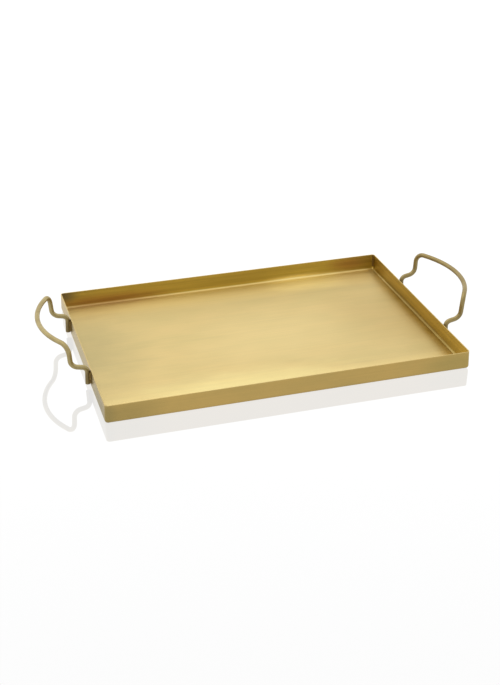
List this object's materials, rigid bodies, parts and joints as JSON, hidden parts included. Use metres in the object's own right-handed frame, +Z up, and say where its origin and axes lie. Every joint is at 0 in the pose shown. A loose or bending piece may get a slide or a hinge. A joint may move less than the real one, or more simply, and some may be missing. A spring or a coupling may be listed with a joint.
{
  "type": "serving tray",
  "caption": "Shallow rectangular serving tray folded from brass sheet, with a bent brass rod handle brazed to the outside of each end wall.",
  "frame": {"origin": "on the resting plane, under the middle of the pan", "axes": "+X along the tray's length towards one handle, +Y across to the rear long wall, +Z up out of the pan"},
  "size_m": [0.551, 0.313, 0.0615],
  "materials": {
    "brass_sheet": "satin, brushed along the length",
    "brass_rod": "matt, lightly aged",
    "brazing_brass": "matt, as filed after brazing"
  },
  "bodies": {
    "root": {"tray_pan": "brass_sheet", "corner_seam_front_left": "brazing_brass", "corner_seam_front_right": "brazing_brass", "corner_seam_rear_left": "brazing_brass", "corner_seam_rear_right": "brazing_brass", "handle_left": "brass_rod", "handle_right": "brass_rod", "foot_braze_left_front": "brazing_brass", "foot_braze_left_rear": "brazing_brass", "foot_braze_right_front": "brazing_brass", "foot_braze_right_rear": "brazing_brass"}
  },
  "joints": []
}
